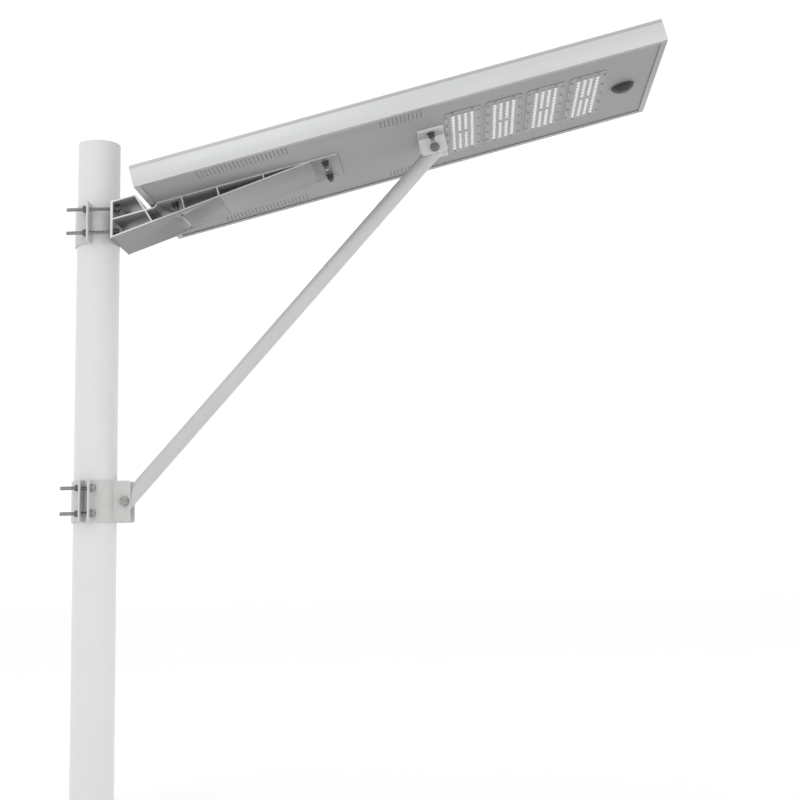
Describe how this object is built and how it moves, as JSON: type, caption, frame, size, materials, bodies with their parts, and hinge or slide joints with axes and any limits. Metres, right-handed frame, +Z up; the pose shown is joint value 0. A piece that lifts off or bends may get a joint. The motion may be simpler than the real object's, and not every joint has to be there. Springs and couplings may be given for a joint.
{
  "type": "solar street lamp",
  "caption": "All-in-one solar street lamp on a pole top: a slim tilted panel with LED modules and a motion sensor below, a truss arm, a strut and two pole clamps.",
  "frame": {"origin": "centre of the pole's lower end, at the mouth of its slip socket", "axes": "+Z up along the pole, +X from the pole towards the lamp's free end, +Y across the lamp"},
  "size_m": [1.2408, 0.422, 1.5519],
  "materials": {
    "pole_paint": "white powder coat, satin",
    "frame_aluminium": "anodised silver, satin",
    "plate_paint": "fine grey powder coat",
    "arm_aluminium": "powder-coated light grey extrusion",
    "clamp_aluminium": "powder-coated light grey extrusion",
    "strut_paint": "light grey powder coat, satin",
    "fastener_steel": "stainless",
    "solar_glass": "tempered, low-iron",
    "encapsulant": "clear cured sheet",
    "cell_silicon": "dark blue-black mono silicon",
    "ribbon_metal": "tinned copper",
    "backsheet": "white film",
    "seal_rubber": "black foam seal",
    "black_plastic": "moulded, fine texture",
    "key_aluminium": "mill finish",
    "lens_plastic": "clear moulded polycarbonate",
    "circuit_board": "white solder mask",
    "green_board": "green solder mask",
    "led_phosphor": "yellow phosphor",
    "sink_aluminium": "mill finish",
    "sensor_lens": "smoked dome",
    "sensor_ring": "light grey",
    "battery_wrap": "blue shrink wrap on a metal can",
    "nickel_strip": "nickel",
    "case_plastic": "moulded, black",
    "case_aluminium": "folded sheet",
    "lead_sleeve": "silicone sleeve",
    "nylon": "natural nylon"
  },
  "bodies": {
    "pole": {"pole": "pole_paint", "pole_cap": "pole_paint"},
    "lamp": {"side_rail_left": "frame_aluminium", "side_rail_right": "frame_aluminium", "end_rail_inner": "frame_aluminium", "end_rail_outer": "frame_aluminium", "corner_keys": "key_aluminium", "back_plate": "plate_paint", "back_plate_seal": "seal_rubber", "solar_glass": "solar_glass", "encapsulant": "encapsulant", "solar_cells": "cell_silicon", "cell_ribbons": "ribbon_metal", "backsheet": "backsheet", "panel_seal": "seal_rubber", "junction_box": "black_plastic", "arm_bracket": "arm_aluminium", "arm_backing_plate": "fastener_steel", "head_bolts": "fastener_steel", "head_nuts": "fastener_steel", "strut_lug": "clamp_aluminium", "lug_backing_plate": "fastener_steel", "heat_sinks": "sink_aluminium", "led_chips": "led_phosphor", "led_screws": "fastener_steel", "sensor_ring": "sensor_ring", "sensor_lens": "sensor_lens", "sensor_housing": "black_plastic", "sensor_board": "green_board", "battery_tray": "case_plastic", "battery_lid": "case_plastic", "battery_cells": "battery_wrap", "cell_links": "nickel_strip", "battery_board": "green_board", "controller_case": "case_aluminium", "controller_lid": "case_aluminium", "controller_board": "green_board", "wiring": "lead_sleeve", "upper_clamp_studs": "fastener_steel", "upper_front_nuts": "fastener_steel", "lower_front_clamp": "clamp_aluminium", "lower_clamp_bolts": "fastener_steel", "strut_tube": "strut_paint", "strut_end_plugs": "black_plastic", "pivot_bolts": "fastener_steel", "pivot_nuts": "fastener_steel", "pivot_spacers": "nylon", "lens_cover_1": "lens_plastic", "led_board_1": "circuit_board", "lens_cover_2": "lens_plastic", "led_board_2": "circuit_board", "lens_cover_3": "lens_plastic", "led_board_3": "circuit_board", "lens_cover_4": "lens_plastic", "led_board_4": "circuit_board"},
    "upper_clamp_rear": {"upper_rear_clamp": "clamp_aluminium", "upper_rear_nuts": "fastener_steel"},
    "lower_clamp_rear": {"lower_rear_clamp": "clamp_aluminium", "lower_rear_nuts": "fastener_steel"}
  },
  "joints": [
    {"name": "lamp_swivel", "type": "hinge", "parent": "pole", "child": "lamp", "pos_m": [0, 0, 1.213], "axis": [0, 0, 1], "continuous": true},
    {"name": "upper_clamp_slide", "type": "slide", "parent": "lamp", "child": "upper_clamp_rear", "axis": [-1, 0, 0], "range_m": [0, 0.028]},
    {"name": "lower_clamp_slide", "type": "slide", "parent": "lamp", "child": "lower_clamp_rear", "axis": [-1, 0, 0], "range_m": [0, 0.026]}
  ]
}
